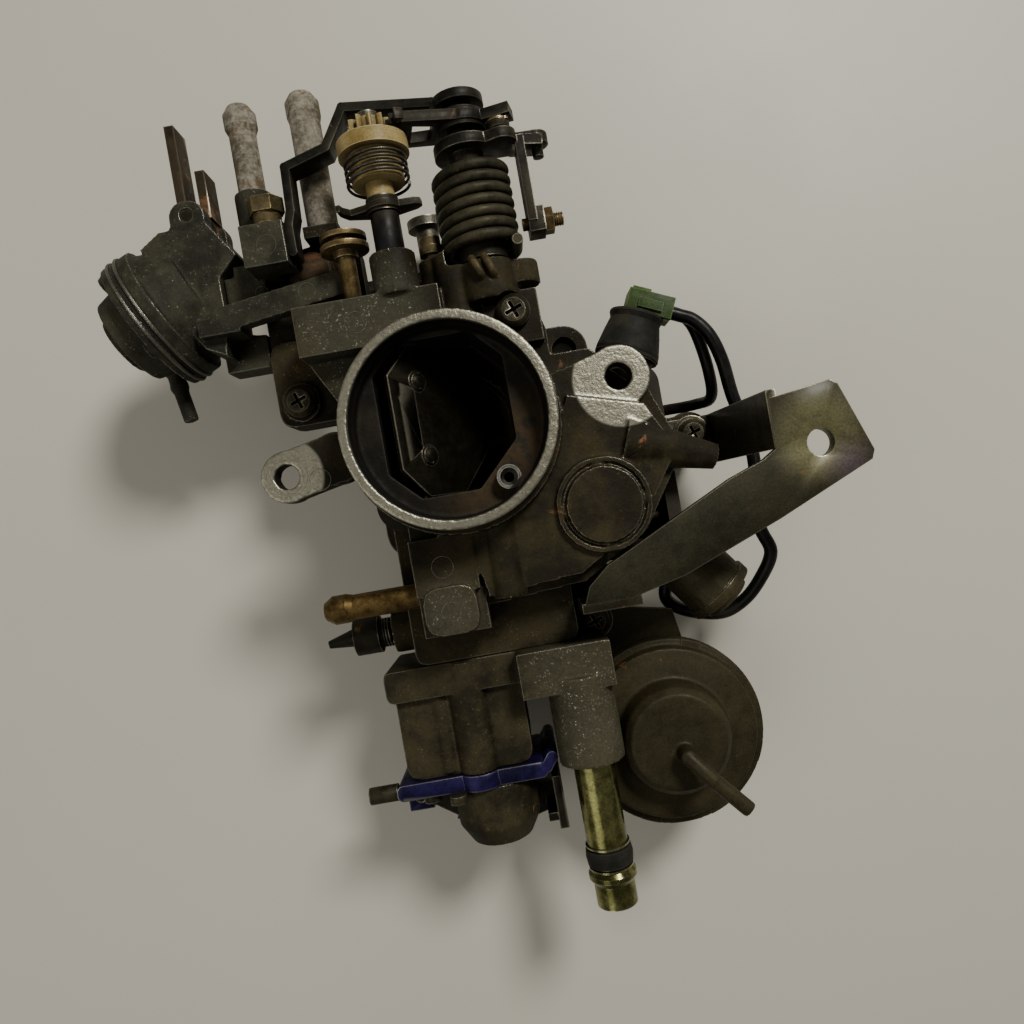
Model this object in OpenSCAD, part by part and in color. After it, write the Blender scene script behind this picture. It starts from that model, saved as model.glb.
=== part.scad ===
// Downdraft throttle body of the carburettor kind, with choke, throttle linkage,
// coolant-heated wax unit, vacuum can, throttle positioner and support bracket.
// Origin: main bore axis at the bottom face of the manifold flange. +Z up the bore,
// +Y along the throttle and choke shafts towards the levers. Millimetres.

/* [Air horn] */
// Outer diameter of the inlet ring
inlet_d = 58; // [56:0.5:60]
// Wall thickness of the inlet ring
inlet_wall = 2.8; // [2.4:0.1:3.2]
// Height of the inlet ring's machined top
inlet_top = 88; // [86:0.5:90]
// Circle on which the two hold-down ears lie
ear_pcd = 98; // [96:0.5:100]

/* [Throttle] */
// Diameter of the throttle bore
bore_d = 34; // [33.8:0.1:34.2]
// Angle of the closed throttle plate
plate_tilt = 10; // [8:0.5:12]

/* [Manifold flange] */
// Hole spacing along X
flange_px = 66; // [64:0.5:68]
// Hole spacing along Y
flange_py = 56; // [54:0.5:58]
// Flange bolt hole diameter
flange_hole_d = 8.5; // [8:0.1:9]

/* [Support bracket] */
// Steel thickness of the support bracket
bracket_t = 2.75; // [2.5:0.05:3]
// Diameter of the bracket's mounting hole
bracket_hole_d = 7.8; // [7:0.1:8.2]

/* [Hidden] */
$fn = 48;
inlet_r = inlet_d / 2;
inlet_in_r = inlet_r - inlet_wall;
bore_r = bore_d / 2;
ear_angle = 7;
ear_x = ear_pcd / 2 * cos(ear_angle);
ear_y = ear_pcd / 2 * sin(ear_angle);
flange_cx = 8;
flange_top = 26;
body_z0 = 30;
body_z1 = 58;
lid_z0 = 59.2;
ledge_z = 78;
register_z = 82.4;
collar_z = 77;
fit = 0.05;
throttle_z = 17.5;
choke_x = -8.5;
choke_z = 72;
lever_x = 17;
gear_module = 1;
pinion_teeth = 10;
sector_teeth = 42;
pinion_r = gear_module * pinion_teeth / 2;
sector_r = gear_module * sector_teeth / 2;
lever_z = choke_z - sqrt(pow(pinion_r + sector_r, 2) - pow(lever_x - choke_x, 2));
mesh_angle = atan2(choke_z - lever_z, choke_x - lever_x);
crank_r = 11;
crank_angle = 21;
crank_dx = crank_r * cos(crank_angle);
crank_dz = crank_r * sin(crank_angle);
link_y0 = 79.8;
link_y1 = 81.8;
needle_x = 38;
needle_y = -29;
float_pin_y = -35;
float_pin_z = 53;
pump_x = -34;
pump_y = 55;
pump_pivot_x = -46;
pump_pivot_z = 31;
pump_y0 = 53.5;
pump_y1 = 56.5;
unit_x = -79;
unit_y = 52.5;
unit_z = 50;
unit_turn = 205;
unit_r = 20.5;
fork_x = -67;
fork_y = 76;
can_x = 50.5;
can_y = -105;
can_z = 38;
cam_base = 6.1;
cam_rise = 0.1;
pipe_x = 23.5;
pipe_z = 54;
cap_x = -8;
cap_z = 42;
plug_x = -42.2;
plug_z = 67;
idle_pin_x = -33;
idle_pin_y = -113;

// ---- helpers ----
module box(x0, x1, y0, y1, z0, z1) {
    translate([x0, y0, z0]) cube([x1 - x0, y1 - y0, z1 - z0]);
}
module xcyl(r, x0, x1, y, z) {
    translate([x0, y, z]) rotate([0, 90, 0]) cylinder(r = r, h = x1 - x0);
}
module ycyl(r, y0, y1, x, z) {
    translate([x, y1, z]) rotate([90, 0, 0]) cylinder(r = r, h = y1 - y0);
}
module zcyl(r, z0, z1, x = 0, y = 0) {
    translate([x, y, z0]) cylinder(r = r, h = z1 - z0);
}
// Rounded rectangle between two corners
module rrect(x0, x1, y0, y1, r) {
    translate([x0 + r, y0]) square([x1 - x0 - 2 * r, y1 - y0]);
    translate([x0, y0 + r]) square([x1 - x0, y1 - y0 - 2 * r]);
    for (x = [x0 + r, x1 - r], y = [y0 + r, y1 - r])
        translate([x, y]) circle(r);
}
module rbox(x0, x1, y0, y1, z0, z1, r) {
    translate([0, 0, z0]) linear_extrude(z1 - z0) rrect(x0, x1, y0, y1, r);
}
// A shape drawn in X and Z, from y0 to y1
module yplate(y0, y1) {
    translate([0, y1, 0]) rotate([90, 0, 0]) linear_extrude(y1 - y0) children();
}
// A bar of width w with round ends between two points of a plane
module bar2d(a, b, w) {
    d = b - a;
    translate(a) circle(w / 2);
    translate(b) circle(w / 2);
    translate(a) rotate(atan2(d[1], d[0])) translate([0, -0.48 * w]) square([norm(d), 0.96 * w]);
}
// Hose nipple along +Z: tube, round bulb with a short land, through bore
module nipple(r, bulb_r, h, bore) {
    land = 4;
    rotate_extrude() polygon([[bore, 0], [r, 0], [r, h - land - 4.5], [bulb_r, h - land - 2.5],
        [bulb_r, h - 2.5], [bulb_r - 1.6, h], [bore, h]]);
}
// Pan-head screw along +Z, head above z = 0, with a cross recess
module pan_screw(head_r, shank_r, length) {
    difference() {
        union() {
            cylinder(r = head_r, h = head_r * 0.4);
            translate([0, 0, head_r * 0.4]) cylinder(r1 = head_r, r2 = head_r * 0.7, h = head_r * 0.28);
            translate([0, 0, -length]) cylinder(r = shank_r, h = length + 0.01);
        }
        translate([0, 0, head_r * 0.68]) for (a = [0, 90])
            rotate(a + 20) cube([head_r * 1.05, head_r * 0.2, head_r * 0.8], center = true);
    }
}
// Sides of a tube swept along points: frames, ring points and faces
function unit_of(v) = v / norm(v);
function tangent(p, i) = unit_of(p[min(i + 1, len(p) - 1)] - p[max(i - 1, 0)]);
function side_of(t) = unit_of(cross(t, abs(t[2]) < 0.8 ? [0, 0, 1] : [1, 0, 0]));
function ring(p, i, r, n) = let (t = tangent(p, i), u = side_of(t), v = cross(t, u))
    [for (k = [0:n - 1]) p[i] + r * (u * cos(360 * k / n) + v * sin(360 * k / n))];
module sweep(p, r, n = 8) {
    m = len(p);
    pts = [for (i = [0:m - 1]) each ring(p, i, r, n)];
    sides = [for (i = [0:m - 2], k = [0:n - 1]) each
        [[i * n + k, (i + 1) * n + (k + 1) % n, i * n + (k + 1) % n],
         [i * n + k, (i + 1) * n + k, (i + 1) * n + (k + 1) % n]]];
    ends = [[for (k = [0:n - 1]) k], [for (k = [n - 1:-1:0]) (m - 1) * n + k]];
    polyhedron(pts, concat(sides, ends), convexity = 8);
}
// Straight tube between two points
module run(a, b, r) {
    d = b - a;
    translate(a) rotate([0, acos(d[2] / norm(d)), atan2(d[1], d[0])]) cylinder(r = r, h = norm(d));
}
// Smooth route through hand-set points
function spline(p, i, t) = let (a = p[max(i - 1, 0)], b = p[i], c = p[i + 1],
    d = p[min(i + 2, len(p) - 1)])
    0.5 * (2 * b + (c - a) * t + (2 * a - 5 * b + 4 * c - d) * t * t
    + (3 * b - a - 3 * c + d) * t * t * t);
function smooth(p, n) = concat([for (i = [0:len(p) - 2], k = [0:n - 1]) spline(p, i, k / n)],
    [p[len(p) - 1]]);
// Coil along +Z
function coil(r, turns, pitch, n) =
    [for (i = [0:turns * n]) [r * cos(360 * i / n), r * sin(360 * i / n), pitch * i / n]];

// ---- castings ----
module chamber2d(gap = 0) {
    c = 8 + gap * 0.4;
    k = 12 + gap * 4;
    x0 = -19 + gap;
    x1 = 17 - gap;
    y0 = -19 + gap;
    y1 = 24 - gap;
    polygon([[x0 + c, y0], [x1 - k, y0], [x1, y0 + k], [x1, y1 - c], [x1 - c, y1],
        [x0 + c, y1], [x0, y1 - c], [x0, y0 + c]]);
}
module lid_outline() {
    polygon([[-18, -38], [-18, -26], [-27, -16], [-30, -6], [-31, 12], [-38, 25], [-38, 38],
        [3, 39], [14, 38], [28, 34], [31, 24], [31, 16], [42, 16], [57, 2], [64, -17],
        [50, -38], [30, -50], [0, -52], [-14, -50]]);
}
module air_horn() color([0.42, 0.38, 0.29]) difference() {
    union() {
        translate([0, 0, lid_z0]) linear_extrude(7.8) lid_outline();
        zcyl(inlet_r + 1.6, 66, collar_z);
        zcyl(inlet_r, 70, inlet_top);
        // bowl cover deck, round plug boss and its step
        translate([0, 0, 66]) linear_extrude(6.5)
            polygon([[20, -24], [33, 3], [54, -3], [61, -17], [48, -36], [29, -47], [2, -49], [-2, -26]]);
        zcyl(13.5, 66, 74.5, needle_x, needle_y);
        zcyl(10.8, 66, 76, needle_x, needle_y);
        // passage ridge and tapered nozzle boss towards the bracket
        translate([47, -12, 68]) rotate([0, 90, -20]) cylinder(r1 = 7.5, r2 = 3.6, h = 27);
        ycyl(5, -50, -24, 8, 70);
        // hold-down ears
        translate([0, 0, 63.5]) linear_extrude(7) {
            bar2d([ear_x, ear_y], [34, 2], 18);
            bar2d([-ear_x, -ear_y], [-34, -3], 15);
        }
        // shaft block, choke boss, lever shaft boss and lug
        box(-38, 3, 25, 39, 62, 76.5);
        ycyl(6.5, 38, 50, choke_x, choke_z);
        ycyl(6, 30, 49, 8, 66);
        ycyl(4.4, 36, 49.3, 2.3, 63);
        ycyl(8.5, 33, 44, lever_x, lever_z);
        box(17, 27, 37, 43.5, 60, 71);
        ycyl(5.5, 37, 43.5, 26.5, 65.5);
        box(14, 30, 20, 35, 62, 70);
        // fuel inlet boss
        box(-18, 1, -58, -46, 55, 70);
        rbox(-16.5, -1.5, -57.5, -44, 60, 74.5, 4);
        box(-18, 0, -46, -30, 62, 73);
    }
    translate([0, 0, lid_z0 - 1]) linear_extrude(ledge_z - lid_z0 + 1) chamber2d();
    zcyl(inlet_in_r, register_z, inlet_top + 1);
    zcyl(inlet_in_r - 0.5, ledge_z, register_z + 1);
    ycyl(3 + fit, -24.5, 51, choke_x, choke_z);
    ycyl(4, 32, 45, lever_x, lever_z);
    ycyl(11.8, 44.7, 60, lever_x, lever_z);
    zcyl(5.2, 70, 80, 22.5, 29);
    // groove round the plug boss
    translate([needle_x, needle_y, 73.4]) linear_extrude(3) difference() {
        circle(11.9);
        circle(10.7);
    }
    zcyl(3.75, 60, 72, ear_x, ear_y);
    zcyl(3.5, 60, 72, -ear_x, -ear_y);
    zcyl(4.55, lid_z0 - 1, 68.5, needle_x, needle_y);
    xcyl(2.6, -19, -10, -46, 64);
    xcyl(1.8, -12, needle_x, -46, 64);
    ycyl(2, -46, needle_y, needle_x, 65);
    zcyl(2.4, 60, 71, 22.5, 29);
    zcyl(2.05, 74, 79, 13.2, -17.2);
}
module main_body() color([0.36, 0.33, 0.25]) difference() {
    union() {
        rbox(-27, 24, -27, 31, body_z0, body_z1, 8);
        rbox(20, 62, -46, 10, body_z0, body_z1, 6);
        rbox(-24, 26, -68, -20, 35, 55, 3);
        rbox(-52, -20, 26, 64, 43, 51, 4);
        rbox(-52, -20, 10, 36, 42, 54, 4);
        zcyl(9, 39, 53, pump_x, pump_y);
        // boss of the right-hand hose nipple
        box(-34, -23.5, 63, 66.5, 43, 61.5);
        // pump pivot lug
        box(-50, -42, 57.5, 61.5, 27, 45);
        // lug for the lower foot of the support bracket
        zcyl(8, 20, 30.2, 32.6, -66);
        box(25, 40, -54.9, -44, 22, 36);
        box(25, 40, -66, -50, 20, 30.2);
        // lug for the upper foot
        zcyl(8, 12, 22.2, 77, -11);
        box(56, 66, -18, -4, 12, 36);
        box(60, 77, -18, -4, 12, 22.2);
        // boss for the idle solenoid
        translate([50, -1, 36]) rotate([0, 90, 66]) cylinder(r = 10, h = 16.4);
        // left screw boss and mixture screw boss
        zcyl(6, 44, 56, -44.5, 16.9);
        xcyl(7, -31, -20, -57.5, 42);
        // boss for the vent solenoid
        translate([56, -40, 40]) rotate([0, 90, -53]) cylinder(r = 9, h = 9);
    }
    translate([0, 0, 45]) linear_extrude(20) chamber2d();
    zcyl(19.5, body_z0 - 1, 46);
    rbox(27, 58, -42, 6, 33, body_z1 + 1, 4);
    xcyl(1.6, 18, 28, -4, 40.5);
    zcyl(7.05, 42, 54, pump_x, pump_y);
    zcyl(1.55, 38, 43, pump_x, pump_y);
    zcyl(2.2, 15, 31, 32.6, -66);
    zcyl(2.2, 11, 23, 77, -11);
    zcyl(2.2, 46, 57, -44.5, 16.9);
    ycyl(1.55, 56.5, 62.5, pump_pivot_x, pump_pivot_z);
    xcyl(2.55, -32, -21, -57.5, 42);
    for (p = [[-20, -20], [-20, 25.5], [24, 12]])
        zcyl(2.1, 48, 59, p[0], p[1]);
}
module flange2d() {
    rrect(flange_cx - flange_px / 2 - 8.5, flange_cx + flange_px / 2 + 8.5,
        -flange_py / 2 - 8.5, flange_py / 2 + 8.5, 8.5);
}
module throttle_flange() color([0.45, 0.42, 0.34]) difference() {
    union() {
        linear_extrude(10) flange2d();
        rbox(-27, 27, -27, 27, 9, flange_top, 8);
        ycyl(8, -34, 50, 0, throttle_z);
    }
    zcyl(bore_r, -1, flange_top + 1);
    ycyl(4 + fit, -35, 51, 0, throttle_z);
    for (x = [-1, 1], y = [-1, 1])
        zcyl(flange_hole_d / 2, -1, 11, flange_cx + x * flange_px / 2, y * flange_py / 2);
}
module lid_gasket() color([0.2, 0.18, 0.15]) translate([0, 0, body_z1]) linear_extrude(1.2) difference() {
    union() {
        rrect(-27, 24, -27, 31, 8);
        rrect(20, 62, -46, 10, 6);
    }
    chamber2d();
    rrect(27, 58, -42, 6, 4);
    for (p = [[-20, -20], [-20, 25.5], [24, 12]])
        translate(p) circle(2.1);
}
module insulator() color([0.1, 0.09, 0.08]) translate([0, 0, flange_top]) linear_extrude(body_z0 - flange_top)
    difference() {
        rrect(-29, 29, -29, 29, 8);
        circle(bore_r);
    }
module venturi() color([0.6, 0.58, 0.52]) difference() {
    rotate_extrude() polygon([[19.45, 30.1], [19.45, 44.9], [17.6, 44.9], [14.5, 42], [12.6, 38],
        [13.6, 34], [16.6, 30.1]]);
    xcyl(2.25, 10, 21, -4, 40.5);
}
module booster_venturi() color([0.62, 0.56, 0.4]) {
    difference() {
        union() {
            rotate_extrude() polygon([[3.6, 37], [4.4, 37], [6, 39.5], [6, 42.5], [5, 44.5], [4.2, 44.5],
                [3.2, 41]]);
            xcyl(2.2, 3.4, 18.4, -4, 40.5);
        }
        xcyl(0.8, 2, 20, -4, 40.5);
        zcyl(3.15, 36, 45);
    }
}
module vent_tube() color([0.55, 0.54, 0.5]) translate([13.2, -17.2, 75]) difference() {
    union() {
        cylinder(r = 2, h = 3.05);
        translate([0, 0, 3.05]) cylinder(r = 3.3, h = 4);
    }
    translate([0, 0, -1]) cylinder(r = 1.4, h = 10);
    translate([0, 0, 3.2]) cylinder(r = 2.4, h = 10);
    translate([-8, -8, 7.6]) rotate([0, 32, -52]) translate([-4, -8, 0]) cube([30, 30, 8]);
}
module needle_seat() color([0.72, 0.55, 0.25]) translate([needle_x, needle_y, 0]) difference() {
    union() {
        zcyl(4.5, 56, 63);
        zcyl(5.5, 55, 57.8);
    }
    zcyl(2.05, 54, 61);
    zcyl(1.2, 60, 64);
}
module pivot_pins() color([0.6, 0.6, 0.58]) {
    xcyl(1.5, 27.2, 57.8, float_pin_y, float_pin_z);
    ycyl(1.5, 52.5, 61.5, pump_pivot_x, pump_pivot_z);
    zcyl(1.95, 38.5, 61, fork_x, fork_y);
    zcyl(1.6, 22.5, 37.5, idle_pin_x, idle_pin_y);
    zcyl(3, 21.5, 23.2, idle_pin_x, idle_pin_y);
}

// ---- nipples, plugs and small fittings ----
module fuel_nipple() color([0.66, 0.47, 0.2]) translate([-10.5, -46, 64]) rotate([0, -90, 0]) {
    difference() {
        cylinder(r = 2.55, h = 9);
        translate([0, 0, -1]) cylinder(r = 1.7, h = 12);
    }
    translate([0, 0, 8]) nipple(3.65, 4.2, 27.5, 1.7);
}
module hose_nipple_left() color([0.75, 0.72, 0.64])
    translate([-47.8, 80.5, 56.7]) rotate([-90, 0, 0]) nipple(4, 4.85, 26.5, 2.2);
module hose_nipple_right() color([0.72, 0.7, 0.63])
    translate([-28.8, 66.6, 56]) rotate([-90, 0, 0]) nipple(4.6, 5.1, 41.2, 2.4);
module nipple_block() color([0.48, 0.46, 0.39]) difference() {
    union() {
        box(-50, -37.5, 54, 66, 51.1, plug_z + 4);
        ycyl(5.5, 64, 80.4, -47.8, 56.7);
        box(-53.3, -42, 64, 78, 51.1, 57);
        box(-60, -48, 44, 56, 51.1, 59.8);
        box(-56.9, -42, 54, 59, 51.1, 60);
    }
    // room over the pump well and its cap
    zcyl(9.1, 50, 60.5, pump_x, pump_y);
    ycyl(2.75, 62, 67, plug_x, plug_z - 1);
    ycyl(2.2, 70, 81, -47.8, 56.7);
}
module brass_plugs() color([0.55, 0.42, 0.22]) {
    // hexagon plug in the nipple block
    ycyl(2.7, 62.5, 66.05, plug_x, plug_z - 1);
    ycyl(4, 66.05, 69.2, plug_x, plug_z);
    translate([plug_x, 73.6, plug_z]) rotate([90, 0, 0]) cylinder(r = 5.3, h = 4.4, $fn = 6);
    // stepped union above the shaft tower
    ycyl(2.6, 49.35, 51, 2.3, 63);
    ycyl(3.5, 51, 53.5, 2.3, 63);
    ycyl(3.1, 53.5, 56, 2.3, 63);
}
module strap_bracket() color([0.2, 0.19, 0.16]) difference() {
    union() {
        translate([0, 0, 61.5]) linear_extrude(8) {
            bar2d([-36.15, 57], [-36.15, 64.5], 2.6);
            bar2d([-36.15, 64.5], [-34.9, 68.5], 2.6);
            bar2d([-34.9, 68.5], [-34.4, 81], 2.6);
            bar2d([-34.4, 81], [-22, 84.6], 2.6);
            bar2d([-22, 84.6], [-15.5, 95], 2.6);
            bar2d([-15.5, 95], [10, 92], 2.6);
            bar2d([10, 92], [18, 91], 2.6);
        }
        yplate(89.7, 92.3) {
            translate([lever_x, lever_z]) circle(7.5);
            polygon([[9, 61.5], [17, 59.6], [17, 74], [9, 69.5]]);
        }
    }
    ycyl(4, 88, 94, lever_x, lever_z);
}
module support_bracket() color([0.4, 0.41, 0.34]) difference() {
    union() {
        // head plate and long lower arm
        translate([0, 0, 70.5]) linear_extrude(bracket_t)
            polygon([[88, -8], [106, -5.5], [108, -7], [115, -27], [114, -29.5], [86, -41.5],
                [57, -52.5], [42, -56], [28, -56], [30, -51], [36, -46], [74, -28], [84, -24.5],
                [88, -22]]);
        zcyl(5.3, 69.3, 71, 100.6, -22.4);
        // lower leg and foot
        box(27, 44, -58.4, -55.6, 30.3, 73.2);
        rbox(25, 41, -74, -56, 30.3, 33.05, 6);
        // upper leg and foot
        yplate(-22, -5.5)
            polygon([[68, 22.5], [86, 22.5], [90.5, 70.5], [90.5, 73.2], [87.6, 73.2], [83.5, 25.2],
                [68, 25.2]]);
    }
    zcyl(bracket_hole_d / 2, 68, 75, 100.6, -22.4);
    zcyl(2.6, 29, 35, 32.6, -66);
    zcyl(2.6, 21, 27, 77, -11);
}
module bracket_screws() color([0.3, 0.29, 0.24])
    for (p = [[32.6, -66, 35.3], [77, -11, 25.3]]) translate(p) {
        cylinder(r = 6.2, h = 1.2);
        translate([0, 0, 1.2]) pan_screw(4.8, 2.15, 13);
    }
module body_screws() color([0.3, 0.28, 0.22]) {
    translate([22.5, 29, 70]) pan_screw(4.8, 2.35, 8);
    translate([-44.5, 16.9, 56]) pan_screw(4.8, 2.15, 8);
    // wax unit's three screws and the black stud
    for (p = [[-27, 50], [-18.5, 55.5], [4.5, 29]])
        ycyl(2.6, -110.4, -107.95, p[0], p[1]);
    xcyl(2.6, -46, -37.02, -105.8, 50);
}
module choke_bush() color([0.07, 0.065, 0.06]) difference() {
    ycyl(4.1, 50.1, 61.5, choke_x, choke_z);
    ycyl(3.1, 49, 62, choke_x, choke_z);
}
module pivot_bolt() color([0.5, 0.4, 0.2]) {
    ycyl(2.5, 39.05, 52.5, -21.5, 69.5);
    translate([-21.5, 52, 69.5]) rotate([-90, 0, 0]) {
        cylinder(r = 3.5, h = 2);
        translate([0, 0, 2]) cylinder(r = 6.9, h = 1.5);
        translate([0, 0, 3.5]) cylinder(r = 4.2, h = 1.6);
        translate([0, 0, 5.1]) cylinder(r = 6.6, h = 1.4);
    }
}
module pump_cap() color([0.4, 0.26, 0.16]) {
    zcyl(7.6, 53.1, 54.8, pump_x, pump_y);
    translate([pump_x, pump_y, 54.8]) cylinder(r1 = 6, r2 = 5.6, h = 2);
    translate([pump_x, pump_y, 54.4]) intersection() {
        sphere(r = 5.5);
        translate([-6, -6, 0]) cube([12, 12, 6]);
    }
}
module mixture_screw() color([0.16, 0.15, 0.12]) {
    xcyl(2.5, -31.5, -22, -57.5, 42);
    xcyl(6, -43.5, -35.5, -57.5, 42);
    xcyl(3.2, -36, -31.1, -57.5, 42);
    translate([-43.5, -57.5, 42]) rotate([0, -90, 6]) cylinder(r1 = 3, r2 = 1.2, h = 9);
}

// ---- solenoids and wiring ----
module idle_solenoid() color([0.2, 0.2, 0.17]) translate([50, -1, 36]) rotate([0, 90, 66]) {
    translate([0, 0, 16.45]) cylinder(r = 9.6, h = 2.1, $fn = 6);
    translate([0, 0, 18.5]) cylinder(r = 8.6, h = 3.5);
}
module solenoid_boot() color([0.09, 0.095, 0.08]) translate([50, -1, 36]) rotate([0, 90, 66])
    rotate_extrude() polygon([[0, 22.1], [8.65, 22.1], [8.65, 18.65], [10.2, 18.65], [10.4, 21], [9.2, 27],
        [8.2, 31], [8.6, 32.2], [8.6, 33.5], [0, 33.5]]);
module connector() color([0.16, 0.28, 0.1]) translate([50, -1, 36]) rotate([0, 90, 66]) difference() {
    union() {
        translate([-5, -10.5, 33.6]) cube([10, 15, 7]);
        translate([-3, -2.5, 40.2]) cube([6, 6, 1.8]);
        translate([-5.9, -7, 35]) cube([1.2, 8, 3]);
    }
    for (p = [[-2.3, 36], [2.6, 38]])
        translate([p[0], -8.4, p[1]]) rotate([90, 0, 0]) cylinder(r = 2.4, h = 4);
}
// The wire to the vent solenoid, and the wire to the body
wire_a = [[72.48, 28.61, 38.3], [77.05, 26.58, 38.3], [81, 24.2, 38.8], [85, 18.5, 39.3],
    [88, 10, 38], [90, -2, 36], [93, -16, 36], [92.5, -32, 37], [91, -45, 37], [93.5, -54, 36],
    [90, -62, 33], [84, -69, 30], [76, -72.5, 27.5], [65, -70, 25.5], [59, -65, 25.5], [60, -58, 26.5]];
wire_b = [[73.21, 30.25, 33.4], [77.78, 28.22, 33.4], [80.8, 25, 33.8], [82.6, 19, 34.3],
    [84.5, 8, 33], [85.5, 0, 27], [82, -0.8, 19], [72, -0.5, 14], [60, 0, 10], [50.2, 0, 6.5]];
module harness_wires() color([0.06, 0.06, 0.055]) {
    sweep(smooth(wire_a, 4), 2.2);
    sweep(smooth(wire_b, 3), 2);
}
module vent_solenoid() color([0.15, 0.15, 0.12]) translate([56, -40, 40]) rotate([0, 90, -53]) {
    translate([0, 0, 9.1]) cylinder(r = 10, h = 3, $fn = 6);
    translate([0, 0, 12.1]) cylinder(r = 10.6, h = 15);
    translate([0, 0, 27.1]) cylinder(r = 11.4, h = 3);
    translate([0, 0, 30.1]) cylinder(r = 8, h = 2.4);
}

// ---- wax unit and coolant side ----
module thermo_housing() color([0.42, 0.38, 0.3]) difference() {
    union() {
        rbox(-33, 6, -103, -74, 24, 52, 4);
        rbox(-35, 10, -78, -68.1, 24, 55, 2);
        ycyl(6.2, -103, -69, -11, 50);
        ycyl(2.8, -102, -69, -19.8, 50.4);
        box(6, 34, -82, -68.1, 42, 62);
        ycyl(10, -104.5, -78, pipe_x, pipe_z);
    }
    ycyl(12.5, -104, -76, cap_x - 5, 38);
    ycyl(5, -107, -76, pipe_x, pipe_z);
    xcyl(3.6, -6, pipe_x, -79, 47);
}
module thermo_plate() color([0.09, 0.09, 0.3]) difference() {
    union() {
        rbox(-37, 9.5, -107.9, -103.1, 24, 54, 2);
        ycyl(6.8, -107.9, -103.1, -11, 50);
        // lug for the fast idle lever's pin
        box(-37, -29, -117, -107, 33, 37.5);
        translate([9.4, -103, 24]) linear_extrude(30) bar2d([0, -1.8], [2, 0.8], 3.6);
    }
    ycyl(9, -109, -102, cap_x, cap_z);
    zcyl(1.6, 32, 38, idle_pin_x, idle_pin_y);
}
module thermo_cap() color([0.4, 0.36, 0.28]) difference() {
    union() {
        ycyl(13, -121, -108, cap_x, cap_z);
        translate([cap_x, -121, cap_z]) rotate([90, 0, 0]) cylinder(r1 = 13, r2 = 9.5, h = 6);
    }
    ycyl(10, -119, -107, cap_x, cap_z);
}
module wax_element() color([0.7, 0.5, 0.28]) {
    ycyl(12.4, -86, -82, cap_x - 5, 38);
    ycyl(8, -102, -86, cap_x - 5, 38);
    ycyl(3, -113, -102, cap_x, cap_z);
}
module coolant_pipe() color([0.5, 0.52, 0.28]) translate([pipe_x, -102.5, pipe_z]) rotate([90, 0, 0]) {
    difference() {
        union() {
            cylinder(r = 4.95, h = 2);
            translate([0, 0, 2.1]) rotate_extrude() polygon([[4, 0], [6.2, 0], [6.2, 32.6], [7.3, 34.2],
                [7.3, 35.6], [6.2, 37.2], [6.2, 44], [4, 44]]);
            translate([0, 0, 1.9]) cylinder(r = 4.95, h = 1);
        }
        translate([0, 0, -1]) cylinder(r = 4, h = 60);
    }
}
module pipe_o_ring() color([0.03, 0.03, 0.03]) translate([pipe_x, -102.5, pipe_z]) rotate([90, 0, 0])
    rotate_extrude() polygon([[6.25, 28.6], [6.9, 28.8], [7.2, 31], [6.9, 33.6], [6.25, 33.8]]);
module fast_idle_lever() color([0.1, 0.1, 0.08]) difference() {
    union() {
        translate([0, 0, 24]) linear_extrude(2.6) {
            bar2d([idle_pin_x, idle_pin_y], [-20, -122], 9);
            polygon([[-24, -126], [-18, -117], [13, -114], [13, -127], [-4, -131]]);
        }
        box(10.2, 13, -127, -110.5, 24, 47);
        box(7, 13, -127, -124.4, 24, 40);
    }
    zcyl(1.65, 23, 28, idle_pin_x, idle_pin_y);
}

// ---- vacuum can ----
module can_cover() color([0.36, 0.33, 0.22]) translate([can_x, can_y, can_z]) {
    rotate_extrude() polygon([[0, 13.4], [14, 13.4], [15.4, 12], [16.6, 4.6], [23, 3.6], [26.4, 2.6],
        [27, 0.1], [30, 0.1], [30, 1.9], [27.6, 2.2], [27, 5], [17.6, 6.4], [16.6, 13], [14.6, 15.2],
        [0, 15.2]]);
    run([1, -3, 14], [1, -3, 21.5], 2.5);
    run([0.4, -2.2, 19.6], [7, -10.2, 24], 2.45);
    run([5.6, -8.6, 23.4], [15.5, -20, 24], 2.4);
}
module can_base() color([0.34, 0.31, 0.21]) translate([can_x, can_y, 0]) {
    rotate_extrude() polygon([[3.6, 20.2], [24, 20.2], [27, 23.2], [27, 35.4], [30, 35.4], [30, 37.2],
        [25.6, 37.2], [25.6, 24], [23.2, 21.8], [3.6, 21.8]]);
    // mounting tongue
    difference() {
        translate([0, 0, 33.15]) linear_extrude(2.1)
            polygon([[-22, 20], [-24.5, 31], [-24, 41], [-18, 46], [-10, 42], [8, 38], [10, 25]]);
        zcyl(26.3, 30, 38);
        zcyl(2.6, 30, 38, 32.6 - can_x, -66 - can_y);
    }
}
module diaphragms() color([0.12, 0.11, 0.1]) {
    translate([can_x, can_y, 0]) rotate_extrude() polygon([[20, 31], [22, 29.4], [25, 32], [25, 37.25],
        [29.8, 37.25], [29.8, 38.05], [24.2, 38.05], [24.2, 33], [22, 30.6], [20.6, 32]]);
    translate([unit_x, unit_y, unit_z]) rotate([0, 90, unit_turn])
        rotate_extrude() polygon([[13, 5.05], [unit_r - 0.2, 5.05], [unit_r - 0.2, 5.95], [13, 5.95]]);
}
module diaphragm_springs() color([0.5, 0.5, 0.46]) {
    translate([can_x, can_y, 33.6]) sweep(coil(9, 3, 5, 14), 0.8, 6);
    translate([unit_x, unit_y, unit_z]) rotate([0, 90, unit_turn])
        translate([0, 0, 11.35]) sweep(coil(7, 2.5, 1.35, 14), 0.5, 6);
}
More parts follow.
